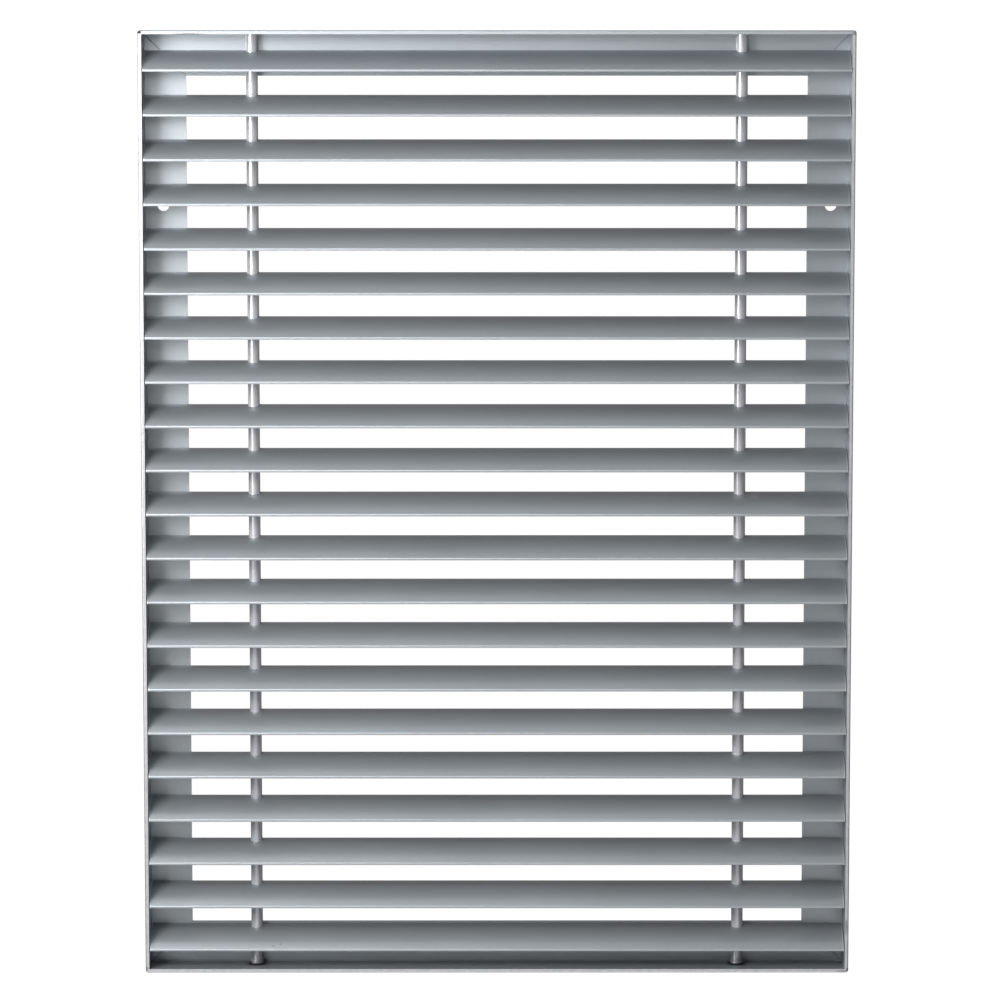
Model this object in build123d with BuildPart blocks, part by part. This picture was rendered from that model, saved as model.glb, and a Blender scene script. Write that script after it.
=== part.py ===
from build123d import *
from math import hypot, radians, sin, sqrt
import os

# Ventilation grille of curved aluminium slats on two rods in a mitred L-profile frame.
# Millimetres. The front faces -Y, +Z is up, and the origin is the middle of the four
# fixing holes on the rear face of the flange.

# Frame
grille_width = 300.0
grille_height = 400.0
frame_depth = 18.0
wall_thickness = 1.6
flange_width = 19.0
flange_thickness = 1.6
corner_radius = 1.2
front_arris_radius = 0.6
mitre_groove = 0.2

# Fixing holes through the side flanges
fixing_hole_diameter = 5.0
fixing_hole_side_inset = 9.0
fixing_hole_top_inset = 73.4
fixing_hole_bottom_inset = 69.4

# Slats
slat_count = 21
slat_top_drop = 17.2
slat_bottom_lift = 9.3
slat_flange_gap = 0.3
slat_rise = 8.9
slat_thickness = 1.0
slat_crown_radius = 20.5
slat_nose_height = 0.9
slat_nose_chamfer = 0.15
slat_end_gap = 0.4

# Rods
rod_diameter = 5.0
rod_spacing = 206.0
rod_flange_gap = 0.8
rod_clearance = 0.05
rod_end_chamfer = 0.3
rod_seat_chamfer = 0.4
rod_foot_spread = 0.45
rod_foot_height = 1.6
rod_foot_undercut = 0.4

# Places that follow from the sizes above
half_width = grille_width / 2
half_height = grille_height / 2
middle_z = (fixing_hole_top_inset - fixing_hole_bottom_inset) / 2
top_z = middle_z + half_height
bottom_z = middle_z - half_height
front_y = -frame_depth
fixing_hole_x = half_width - fixing_hole_side_inset
fixing_hole_spacing_z = grille_height - fixing_hole_top_inset - fixing_hole_bottom_inset
slat_length = grille_width - 2 * (wall_thickness + slat_end_gap)
slat_depth = frame_depth - flange_thickness - slat_flange_gap
slat_pitch = (grille_height - slat_top_drop - slat_bottom_lift) / (slat_count - 1)
rod_y = -(flange_thickness + rod_flange_gap + rod_diameter / 2)
rod_hole_radius = rod_diameter / 2 + rod_clearance
rod_places = [(-rod_spacing / 2, rod_y), (rod_spacing / 2, rod_y)]

# The crown arc runs from the top of the nose to the rear top edge of the slat,
# and its centre lies below and behind the middle of that chord
chord_y = slat_depth
chord_z = slat_rise - slat_nose_height
chord = hypot(chord_y, chord_z)
chord_to_centre = sqrt(slat_crown_radius**2 - (chord / 2) ** 2)
crown_centre_y = chord_y / 2 + chord_to_centre * chord_z / chord
crown_centre_z = slat_nose_height + chord_z / 2 - chord_to_centre * chord_y / chord

os.makedirs("parts", exist_ok=True)

# Outer form that the mitred lengths share: rounded corners and a softened front edge
with BuildPart() as outer_form:
    with BuildSketch(Plane.XZ):
        with Locations((0, middle_z)):
            RectangleRounded(grille_width, grille_height, corner_radius)
    extrude(amount=frame_depth)
    fillet(outer_form.faces().sort_by(Axis.Y)[0].edges(), radius=front_arris_radius)

# The mitre planes run at 45 degrees through the four corners, facing out of the frame piece
mitre_planes = {
    "upper_right": Plane(origin=(half_width, 0, top_z), x_dir=(0, 1, 0), z_dir=(1, 0, -1)),
    "upper_left": Plane(origin=(-half_width, 0, top_z), x_dir=(0, 1, 0), z_dir=(-1, 0, -1)),
    "lower_right": Plane(origin=(half_width, 0, bottom_z), x_dir=(0, 1, 0), z_dir=(1, 0, 1)),
    "lower_left": Plane(origin=(-half_width, 0, bottom_z), x_dir=(0, 1, 0), z_dir=(-1, 0, 1)),
}


def flange_mitre_edges(part):
    """Edges where the mitred ends meet the front face of the flange."""
    inside_y = -flange_thickness
    return [
        edge
        for edge in part.edges().filter_by(GeomType.LINE)
        if abs(edge.center().Y - inside_y) < 0.01
        and abs(abs(edge.tangent_at(0.5).X) - sin(radians(45))) < 0.01
    ]


# Top and bottom lengths: the L profile drawn in YZ, run across the width and mitred
for name, side, ends in (
    ("frame_top", 1, ("upper_right", "upper_left")),
    ("frame_bottom", -1, ("lower_right", "lower_left")),
):
    outer_z = middle_z + side * half_height
    inner_z = outer_z - side * wall_thickness
    with BuildPart() as cross_length:
        with BuildSketch(Plane.YZ):
            with Locations((-frame_depth / 2, outer_z - side * wall_thickness / 2)):
                Rectangle(frame_depth, wall_thickness)
            with Locations((-flange_thickness / 2, outer_z - side * flange_width / 2)):
                Rectangle(flange_thickness, flange_width)
        extrude(amount=half_width, both=True)
        for corner in ends:
            split(bisect_by=mitre_planes[corner], keep=Keep.BOTTOM)
        add(outer_form.part, mode=Mode.INTERSECT)
        chamfer(flange_mitre_edges(cross_length.part), length=mitre_groove)
        # Seats for the two rods, with the inner edge broken
        with BuildSketch(Plane.XY.offset(outer_z)):
            with Locations(rod_places):
                Circle(rod_hole_radius)
        extrude(amount=-side * wall_thickness, mode=Mode.SUBTRACT)
        seat_rims = cross_length.edges().filter_by(GeomType.CIRCLE).filter_by_position(
            Axis.Z, inner_z - 0.01, inner_z + 0.01
        )
        chamfer(seat_rims, length=rod_seat_chamfer)
    cross_length.part.label = name
    export_step(cross_length.part, f"parts/{name}.step")

# Side lengths: the same profile drawn in XY and run up the height, with the fixing holes
for name, side, ends in (
    ("frame_left", -1, ("upper_left", "lower_left")),
    ("frame_right", 1, ("upper_right", "lower_right")),
):
    with BuildPart() as side_length:
        with BuildSketch(Plane.XY.offset(middle_z)):
            with Locations((side * (half_width - wall_thickness / 2), -frame_depth / 2)):
                Rectangle(wall_thickness, frame_depth)
            with Locations((side * (half_width - flange_width / 2), -flange_thickness / 2)):
                Rectangle(flange_width, flange_thickness)
        extrude(amount=half_height, both=True)
        for corner in ends:
            split(bisect_by=mitre_planes[corner], keep=Keep.TOP)
        add(outer_form.part, mode=Mode.INTERSECT)
        chamfer(flange_mitre_edges(side_length.part), length=mitre_groove)
        with BuildSketch(Plane.XZ):
            with Locations((side * fixing_hole_x, 0)):
                with GridLocations(0, fixing_hole_spacing_z, 1, 2):
                    Circle(fixing_hole_diameter / 2)
        extrude(amount=flange_thickness, mode=Mode.SUBTRACT)
    side_length.part.label = name
    export_step(side_length.part, f"parts/{name}.step")

# Slats: a crowned strip of even thickness, cut off square at the nose, underneath and at the rear
for number in range(1, slat_count + 1):
    slat_z = top_z - slat_top_drop - (number - 1) * slat_pitch
    with BuildPart() as slat:
        with BuildSketch(Plane.YZ) as slat_section:
            with Locations((front_y + crown_centre_y, slat_z + crown_centre_z)):
                Circle(slat_crown_radius)
                Circle(slat_crown_radius - slat_thickness, mode=Mode.SUBTRACT)
            with Locations((front_y + slat_depth / 2, slat_z + slat_crown_radius / 2)):
                Rectangle(slat_depth, slat_crown_radius, mode=Mode.INTERSECT)
            nose_corners = slat_section.vertices().group_by(Axis.X)[0]
            chamfer(nose_corners, length=slat_nose_chamfer)
        extrude(amount=slat_length / 2, both=True)
        with BuildSketch(Plane.XY.offset(slat_z)):
            with Locations(rod_places):
                Circle(rod_hole_radius)
        extrude(amount=slat_crown_radius, mode=Mode.SUBTRACT)
    slat.part.label = f"slat_{number:02d}"
    export_step(slat.part, f"parts/slat_{number:02d}.step")

# Rods: straight round bar from outer face to outer face, spread into a small foot just above
# the bottom length
foot_z = bottom_z + wall_thickness + rod_clearance
foot_profile = [
    (0, foot_z),
    (rod_diameter / 2 + rod_foot_spread - rod_foot_undercut, foot_z),
    (rod_diameter / 2 + rod_foot_spread, foot_z + rod_foot_undercut),
    (rod_diameter / 2, foot_z + rod_foot_height),
    (0, foot_z + rod_foot_height),
]
for name, (rod_x, rod_depth_y) in zip(("rod_left", "rod_right"), rod_places):
    with BuildPart() as rod:
        with BuildSketch(Plane.XY.offset(bottom_z)):
            with Locations((rod_x, rod_depth_y)):
                Circle(rod_diameter / 2)
        extrude(amount=grille_height)
        chamfer(rod.edges().filter_by(GeomType.CIRCLE), length=rod_end_chamfer)
        with BuildSketch(Plane.XZ.offset(-rod_depth_y)):
            with BuildLine():
                Polyline([(rod_x + x, z) for x, z in foot_profile], close=True)
            make_face()
        revolve(axis=Axis((rod_x, rod_depth_y, 0), (0, 0, 1)))
    rod.part.label = name
    export_step(rod.part, f"parts/{name}.step")
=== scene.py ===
import bpy
from math import cos, radians, sin, tan
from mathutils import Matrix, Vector


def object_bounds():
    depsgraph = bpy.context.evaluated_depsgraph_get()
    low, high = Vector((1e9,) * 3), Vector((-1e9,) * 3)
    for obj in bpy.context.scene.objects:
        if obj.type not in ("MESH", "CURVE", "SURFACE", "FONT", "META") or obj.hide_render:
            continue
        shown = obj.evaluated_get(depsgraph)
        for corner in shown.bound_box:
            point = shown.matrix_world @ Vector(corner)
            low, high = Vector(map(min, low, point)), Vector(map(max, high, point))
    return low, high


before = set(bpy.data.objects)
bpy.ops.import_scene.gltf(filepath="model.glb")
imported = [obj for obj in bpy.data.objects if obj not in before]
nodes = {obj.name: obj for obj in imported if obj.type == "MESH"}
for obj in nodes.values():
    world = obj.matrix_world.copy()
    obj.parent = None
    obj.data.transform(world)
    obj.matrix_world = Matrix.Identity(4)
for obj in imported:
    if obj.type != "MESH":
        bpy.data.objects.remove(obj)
cadBox = [list(corner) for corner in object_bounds()]
frontFace, lowest = cadBox[0][1:]
print("frame loaded:", len(nodes), "pieces")


# Small helpers for the node trees

def newMaterial(name):
    material = bpy.data.materials.new(name)
    material.use_nodes = True
    tree = material.node_tree
    shader = tree.nodes["Principled BSDF"]
    return material, tree, shader


def addNode(tree, kind, **settings):
    node = tree.nodes.new(kind)
    for key, value in settings.items():
        setattr(node, key, value)
    return node


def objectCoords(tree, scale, offset=(0, 0, 0)):
    # Object coordinates in metres, stretched per axis to set the grain's direction
    coords = addNode(tree, "ShaderNodeTexCoord")
    mapping = addNode(tree, "ShaderNodeMapping")
    mapping.inputs["Scale"].default_value = scale
    mapping.inputs["Location"].default_value = offset
    tree.links.new(coords.outputs["Object"], mapping.inputs["Vector"])
    return mapping.outputs["Vector"]


def noise(tree, vector, scale, detail=3.0, roughness=0.5):
    node = addNode(tree, "ShaderNodeTexNoise")
    node.inputs["Scale"].default_value = scale
    node.inputs["Detail"].default_value = detail
    node.inputs["Roughness"].default_value = roughness
    tree.links.new(vector, node.inputs["Vector"])
    return node.outputs["Fac"]


def remap(tree, value, low, high, toLow, toHigh):
    node = addNode(tree, "ShaderNodeMapRange")
    limits = {"From Min": low, "From Max": high, "To Min": toLow, "To Max": toHigh}
    for socket, number in limits.items():
        node.inputs[socket].default_value = number
    tree.links.new(value, node.inputs["Value"])
    return node.outputs["Result"]


def spread(tree, value, toLow, toHigh):
    # noise lies mostly between 0.3 and 0.7
    return remap(tree, value, 0.3, 0.7, toLow, toHigh)


def combine(tree, operation, first, second):
    node = addNode(tree, "ShaderNodeMath", operation=operation)
    tree.links.new(first, node.inputs[0])
    if isinstance(second, float):
        node.inputs[1].default_value = second
    else:
        tree.links.new(second, node.inputs[1])
    return node.outputs[0]


# Satin anodised aluminium, with fine grain along the extrusion. Lengths are in metres, and the
# strengths of the front edges (rubbed lighter, partly a painted highlight), the slat ends' painted
# reflection, the pits and the outer face's painted shade go from 0 to 1.
satin = {
    "colour": (0.409, 0.439, 0.464),
    "shade": (0.377, 0.405, 0.428),
    "metallic": 0.72,
    "roughness": 0.40,
    "grainDepth": 0.000004,
    "frontEdge": 0.0,
    "edgeTone": (0.60, 0.61, 0.63),
    "endPaintedReflection": 0.0,
    "pits": 0.4,
    "dullShadedOutside": 0.0,
}
grainAcross = {"grainScale": (7, 1100, 1100)}
grainUpright = {"grainScale": (1100, 1100, 7)}
metals = {
    # the slats carry a painted reflection of the side walls at their ends
    "slatSatin": {**satin, **grainAcross, "endPaintedReflection": 0.55, "pits": 0.35},
    # front edges per rail: lightened partly by rubbing and partly as a painted highlight
    "topRailSatin": {**satin, **grainAcross, "frontEdge": 0.1},
    "bottomRailSatin": {**satin, **grainAcross, "frontEdge": 0.6, "edgeTone": (0.61, 0.63, 0.65)},
    "leftRailSatin": {
        **satin,
        **grainUpright,
        "frontEdge": 0.6,
        "edgeTone": (0.62, 0.62, 0.63),
        # the left rail's outer face is darkened as painted shade and made rougher
        "dullShadedOutside": 1.0,
    },
    "rightRailSatin": {**satin, **grainUpright, "frontEdge": 0.5, "edgeTone": (0.62, 0.63, 0.64)},
    "rodDrawn": {
        **satin,
        "colour": (0.60, 0.61, 0.64),
        "shade": (0.44, 0.45, 0.47),
        "metallic": 0.42,
        "roughness": 0.23,
        "grainScale": (1500, 1500, 260),
        "grainDepth": 0.00003,
        "pits": 0.7,
    },
}

# What all the finishes share: faint smudges, sparse pits, front edges rubbed lighter with a
# painted highlight, a painted reflection at the slat ends, and painted shade with a duller finish
# on the outer face towards the wall opening
wearAndPaintedLight = {
    "smudgeScale": (16, 16, 30),
    "smudgeOffset": (3.1, 0.7, 5.2),
    "smudgeShare": 0.3,
    "pitCells": 300,
    "pitsFrom": 0.990,
    "pitRadii": (0.04, 0.09),
    "pitTone": (0.16, 0.165, 0.17),
    "edgeReach": (0.00035, 0.00005),
    "dashScale": (420, 60, 420),
    "endReflectionPlaces": (0.14760, 0.14785),
    "endReflectionTone": (0.78, 0.79, 0.80),
    "outsidePlaces": (0.14985, 0.14995),
    "outsidePaintedShade": (0.20, 0.213, 0.225),
    "outsideRoughness": 0.62,
    "raggedScale": (2500, 2500, 2500),
    "raggedBy": 0.4,
    "markRoughness": 0.9,
}

# Small spots seen on the grille: specks, a scratch and a nick, and painted shade at the frame's
# corners, before the rods' feet and on the feet; place and reach in metres, tone and strength
# painted shade: dark arcs and rims on the frame's rounded corners
upperLeftCornerShade = [
    ((-0.1494, -0.0176, 0.2013), (0.0012, 0.0030, 0.0012), (0.03, 0.03, 0.035), 0.95),
    ((-0.1472, -0.0176, 0.2020), (0.0026, 0.0030, 0.0003), (0.12, 0.12, 0.125), 0.7),
]
upperRightCornerShade = [
    ((0.1488, -0.0180, 0.2006), (0.0009, 0.0030, 0.0009), (0.18, 0.18, 0.185), 0.7),
    ((0.1497, -0.0176, 0.2010), (0.0006, 0.0030, 0.0016), (0.18, 0.18, 0.185), 0.7),
]
lowerRightCornerShade = [
    ((0.1472, -0.0180, -0.1974), (0.0026, 0.0030, 0.0007), (0.22, 0.22, 0.225), 0.55),
    ((0.1497, -0.0176, -0.1968), (0.0009, 0.0030, 0.0010), (0.10, 0.10, 0.105), 0.8),
]
lowerLeftCornerShade = [
    ((-0.1496, -0.0176, -0.1962), (0.0009, 0.0030, 0.0010), (0.15, 0.15, 0.155), 0.7),
]
marksAndPaintedShade = {
    "slatSatin": [
        ((-0.09547, -0.0170, -0.1866), (0.0005, 0.0004, 0.0004), (0.15, 0.155, 0.16), 0.8),
        ((-0.0925, -0.0164, -0.18596), (0.0005, 0.0004, 0.0004), (0.15, 0.155, 0.16), 0.7),
        ((0.10886, -0.0092, 0.00555), (0.0020, 0.0030, 0.0015), (0.56, 0.57, 0.59), 0.5),
    ],
    "topRailSatin": upperLeftCornerShade + upperRightCornerShade + [
        ((-0.1285, -0.0180, 0.2004), (0.0090, 0.0012, 0.00035), (0.08, 0.08, 0.085), 0.9),
    ],
    "bottomRailSatin": lowerLeftCornerShade + lowerRightCornerShade + [
        # painted contact shadow: a dark crescent on the wall before each rod's foot
        ((-0.1030, -0.0066, -0.1964), (0.0048, 0.0060, 0.0008), (0.01, 0.01, 0.01), 1.0),
        ((0.1030, -0.0066, -0.1964), (0.0048, 0.0060, 0.0008), (0.01, 0.01, 0.01), 1.0),
    ],
    "leftRailSatin": upperLeftCornerShade + lowerLeftCornerShade,
    "rightRailSatin": upperRightCornerShade + lowerRightCornerShade + [
        ((0.14844, -0.0180, 0.1860), (0.0004, 0.0006, 0.0009), (0.12, 0.12, 0.125), 0.8),
        ((0.14804, -0.0180, 0.1466), (0.0004, 0.0006, 0.0009), (0.12, 0.12, 0.125), 0.8),
        ((0.1490, -0.0180, -0.1781), (0.0007, 0.0008, 0.0040), (0.22, 0.22, 0.225), 0.7),
    ],
    "rodDrawn": [
        ((-0.1030, -0.0074, -0.1931), (0.0005, 0.0005, 0.0005), (0.12, 0.12, 0.125), 0.8),
        ((-0.1020, -0.0073, -0.1922), (0.0004, 0.0005, 0.0004), (0.12, 0.12, 0.125), 0.7),
        # the feet are rougher than the bar, and their darker colour is painted shade that dims
        # their highlight
        ((-0.1030, -0.0049, -0.1962), (0.0050, 0.0050, 0.0026), (0.22, 0.22, 0.225), 0.75),
        ((0.1030, -0.0049, -0.1962), (0.0050, 0.0050, 0.0026), (0.22, 0.22, 0.225), 0.75),
    ],
}


def mixColour(tree, factor, first, second):
    node = addNode(tree, "ShaderNodeMix", data_type="RGBA")
    for socket, colour in (("A", first), ("B", second)):
        if isinstance(colour, tuple):
            node.inputs[socket].default_value = (*colour, 1)
        else:
            tree.links.new(colour, node.inputs[socket])
    tree.links.new(factor, node.inputs["Factor"])
    return node.outputs["Result"]


def addMark(tree, colour, ragged, place, reach, tone, strength):
    # a blot with a soft, ragged rim, and how much of it covers each point
    scale = tuple(1 / size for size in reach)
    offset = tuple(-at / size for at, size in zip(place, reach))
    away = addNode(tree, "ShaderNodeVectorMath", operation="LENGTH")
    tree.links.new(objectCoords(tree, scale, offset), away.inputs[0])
    distance = combine(tree, "ADD", away.outputs["Value"], ragged)
    cover = remap(tree, distance, 0.6, 1.0, strength, 0.0)
    return mixColour(tree, cover, colour, tone), cover


def addPits(tree, colour, strength):
    cells = addNode(tree, "ShaderNodeTexVoronoi", feature="F1")
    cells.inputs["Scale"].default_value = wearAndPaintedLight["pitCells"]
    tree.links.new(objectCoords(tree, (1, 1, 1)), cells.inputs["Vector"])
    pick = addNode(tree, "ShaderNodeSeparateColor")
    tree.links.new(cells.outputs["Color"], pick.inputs["Color"])
    chosen = remap(tree, pick.outputs["Red"], wearAndPaintedLight["pitsFrom"], wearAndPaintedLight["pitsFrom"] + 0.001, 0.0, 1.0)
    dot = remap(tree, cells.outputs["Distance"], *wearAndPaintedLight["pitRadii"], strength, 0.0)
    return mixColour(tree, combine(tree, "MULTIPLY", chosen, dot), colour, wearAndPaintedLight["pitTone"])


def addFaces(tree, colour, look):
    # dashes along the last tenths of a millimetre before the front plane, rubbed lighter and
    # partly lightened as a painted highlight; a light band at the slat ends, a painted reflection
    # of the side walls; and the outer face darkened as painted shade, with how much of it covers
    # each point
    place = addNode(tree, "ShaderNodeSeparateXYZ")
    tree.links.new(objectCoords(tree, (1, 1, 1)), place.inputs["Vector"])
    begins, full = (frontFace + reach for reach in wearAndPaintedLight["edgeReach"])
    # the front edges are rubbed lighter, and partly lightened as a painted highlight set per rail
    front = remap(tree, place.outputs["Y"], begins, full, 0.0, look["frontEdge"])
    dashes = noise(tree, objectCoords(tree, wearAndPaintedLight["dashScale"]), 1.0, 2.0, 0.6)
    rubbedAndHighlit = combine(tree, "MULTIPLY", front, remap(tree, dashes, 0.35, 0.65, 0.7, 1.3))
    colour = mixColour(tree, rubbedAndHighlit, colour, look["edgeTone"])
    sideways = combine(tree, "ABSOLUTE", place.outputs["X"], 0.0)
    # painted reflection: a light band at each slat end, standing in for the bright side wall
    endReflection = remap(tree, sideways, *wearAndPaintedLight["endReflectionPlaces"], 0.0, look["endPaintedReflection"])
    colour = mixColour(tree, endReflection, colour, wearAndPaintedLight["endReflectionTone"])
    # painted shade: the outer face is darkened, along with its rougher finish, to dim the key
    # lights' reflection
    outside = remap(tree, sideways, *wearAndPaintedLight["outsidePlaces"], 0.0, look["dullShadedOutside"])
    return mixColour(tree, outside, colour, wearAndPaintedLight["outsidePaintedShade"]), outside


def satinMetal(name, look):
    material, tree, shader = newMaterial(name)
    shader.inputs["Metallic"].default_value = look["metallic"]
    grain = noise(tree, objectCoords(tree, look["grainScale"]), 1.0, 4.0, 0.6)
    smudgeCoords = objectCoords(tree, wearAndPaintedLight["smudgeScale"], wearAndPaintedLight["smudgeOffset"])
    smudge = noise(tree, smudgeCoords, 1.0, 4.0, 0.55)
    tone = combine(
        tree, "ADD",
        spread(tree, grain, 0.3, 0.7),
        spread(tree, smudge, -wearAndPaintedLight["smudgeShare"], wearAndPaintedLight["smudgeShare"]),
    )
    colour = mixColour(tree, tone, look["shade"], look["colour"])
    colour = addPits(tree, colour, look["pits"])
    colour, outside = addFaces(tree, colour, look)
    rough = combine(
        tree, "ADD",
        spread(tree, grain, look["roughness"] - 0.02, look["roughness"] + 0.02),
        spread(tree, smudge, -0.02, 0.03),
    )
    rough = combine(
        tree, "MAXIMUM", rough, combine(tree, "MULTIPLY", outside, wearAndPaintedLight["outsideRoughness"])
    )
    rim = noise(tree, objectCoords(tree, wearAndPaintedLight["raggedScale"]), 1.0, 2.0, 0.6)
    ragged = spread(tree, rim, -wearAndPaintedLight["raggedBy"], wearAndPaintedLight["raggedBy"])
    for mark in marksAndPaintedShade[name]:
        colour, cover = addMark(tree, colour, ragged, *mark)
        dull = combine(tree, "MULTIPLY", cover, wearAndPaintedLight["markRoughness"])
        rough = combine(tree, "MAXIMUM", rough, dull)
    tree.links.new(colour, shader.inputs["Base Color"])
    tree.links.new(rough, shader.inputs["Roughness"])
    bump = addNode(tree, "ShaderNodeBump")
    bump.inputs["Strength"].default_value = 1.0
    bump.inputs["Distance"].default_value = look["grainDepth"]
    tree.links.new(grain, bump.inputs["Height"])
    tree.links.new(bump.outputs["Normal"], shader.inputs["Normal"])
    return material


made = {name: satinMetal(name, look) for name, look in metals.items()}
finishes = {
    "slat": "slatSatin",
    "rod": "rodDrawn",
    "frame_top": "topRailSatin",
    "frame_bottom": "bottomRailSatin",
    "frame_left": "leftRailSatin",
    "frame_right": "rightRailSatin",
}
for name, node in nodes.items():
    finish = next(finishes[start] for start in finishes if name.startswith(start))
    for slot in node.material_slots:
        slot.material = made[finish]
print("finishes given:", len(made))


# Studio: a plain white floor and backdrop that only the camera sees, a room of broad soft
# glows, and softboxes, most of them at the front left
studio = {
    "floorSize": 60.0,
    "backdropRadius": 29.0,
    "white": 1.03,
}


def paleSheet(name, strength):
    material = bpy.data.materials.new(name)
    material.use_nodes = True
    tree = material.node_tree
    tree.nodes.remove(tree.nodes["Principled BSDF"])
    glow = addNode(tree, "ShaderNodeEmission")
    glow.inputs["Strength"].default_value = strength
    tree.links.new(glow.outputs["Emission"], tree.nodes["Material Output"].inputs["Surface"])
    return material


bpy.ops.mesh.primitive_plane_add(size=studio["floorSize"], location=(0, 0, lowest))
floor = bpy.context.object
floor.name = "studioFloor"
bpy.ops.mesh.primitive_uv_sphere_add(radius=studio["backdropRadius"], segments=48, ring_count=24)
backdrop = bpy.context.object
backdrop.name = "studioBackdrop"
for sheet in (floor, backdrop):
    sheet.data.materials.append(paleSheet(sheet.name + "White", studio["white"]))
    sheet.visible_glossy = False
    sheet.visible_diffuse = False
    sheet.visible_shadow = False


def toward(azimuth, elevation):
    # azimuth 0 is the front, positive to the right
    across, up = radians(azimuth), radians(elevation)
    return Vector((cos(up) * sin(across), -cos(up) * cos(across), sin(up)))


# each glow fades with the angle from its middle
glowFade = 8.0
roomGlows = {
    "floorBounce": {"azimuth": 0, "elevation": -45, "strength": 1.889},
    "lowFront": {"azimuth": 0, "elevation": -15, "strength": 0.329},
    "lowBack": {"azimuth": 180, "elevation": -15, "strength": 1.137},
    "backLeft": {"azimuth": -140, "elevation": 15, "strength": 0.255},
    "backRight": {"azimuth": 140, "elevation": 15, "strength": 0.049},
    "sideRight": {"azimuth": 108, "elevation": 5, "strength": 0.45},
    "overheadLeft": {"azimuth": -90, "elevation": 75, "strength": 0.562},
    "overheadFront": {"azimuth": 0, "elevation": 75, "strength": 0.263},
}
world = bpy.data.worlds.new("room")
bpy.context.scene.world = world
world.use_nodes = True
room = world.node_tree
outward = addNode(room, "ShaderNodeTexCoord").outputs["Object"]
total = None
for look in roomGlows.values():
    facing = addNode(room, "ShaderNodeVectorMath", operation="DOT_PRODUCT")
    room.links.new(outward, facing.inputs[0])
    facing.inputs[1].default_value = toward(look["azimuth"], look["elevation"])
    ahead = combine(room, "MAXIMUM", facing.outputs["Value"], 0.0)
    faded = combine(room, "POWER", ahead, glowFade)
    glow = combine(room, "MULTIPLY", faded, look["strength"])
    total = glow if total is None else combine(room, "ADD", total, glow)
room.nodes["Background"].inputs["Color"].default_value = (1, 1, 1, 1)
room.links.new(total, room.nodes["Background"].inputs["Strength"])

softboxes = {
    "keyMiddle": {"azimuth": -40, "elevation": 14, "distance": 1.0, "size": 0.4, "power": 4.87},
    "keyUpper": {"azimuth": -40, "elevation": 28, "distance": 1.0, "size": 0.4, "power": 2.43},
    "frontUpper": {"azimuth": -10, "elevation": 28, "distance": 0.9, "size": 0.36, "power": 1.83},
    "highLeft": {"azimuth": -28, "elevation": 42, "distance": 0.78, "size": 0.36, "power": 0.55},
    "nearLower": {"azimuth": -42, "elevation": 5, "distance": 0.65, "size": 0.3, "power": 0.79},
    "nearUpper": {"azimuth": -42, "elevation": 22, "distance": 0.65, "size": 0.3, "power": 1.16},
    "rightStrip": {"azimuth": 60, "elevation": 10, "distance": 1.0, "size": 0.5, "power": 0.24},
}
for name, look in softboxes.items():
    data = bpy.data.lights.new(name, "AREA")
    data.shape = "SQUARE"
    data.size = look["size"]
    data.energy = look["power"]
    lamp = bpy.data.objects.new(name, data)
    bpy.context.scene.collection.objects.link(lamp)
    away = toward(look["azimuth"], look["elevation"])
    lamp.location = away * look["distance"]
    lamp.rotation_euler = (-away).to_track_quat("-Z", "Y").to_euler()
print("studio lit:", len(roomGlows), "glows,", len(softboxes), "softboxes")


# Camera where the photographer stood: level with the top edge, looking down six degrees
view = {"distance": 1.788, "height": 0.20025, "lens": 153.5, "tilt": 6.23, "aside": 0.00127}
data = bpy.data.cameras.new("photoCamera")
data.lens = view["lens"]
data.sensor_width = 36
camera = bpy.data.objects.new("photoCamera", data)
bpy.context.scene.collection.objects.link(camera)
camera.location = (0, frontFace - view["distance"], view["height"])
drop = view["distance"] * tan(radians(view["tilt"]))
target = Vector((view["aside"], frontFace, view["height"] - drop))
camera.rotation_euler = (target - camera.location).to_track_quat("-Z", "Y").to_euler()
bpy.context.scene.camera = camera
bpy.context.scene.view_settings.view_transform = "Standard"
print("camera set")
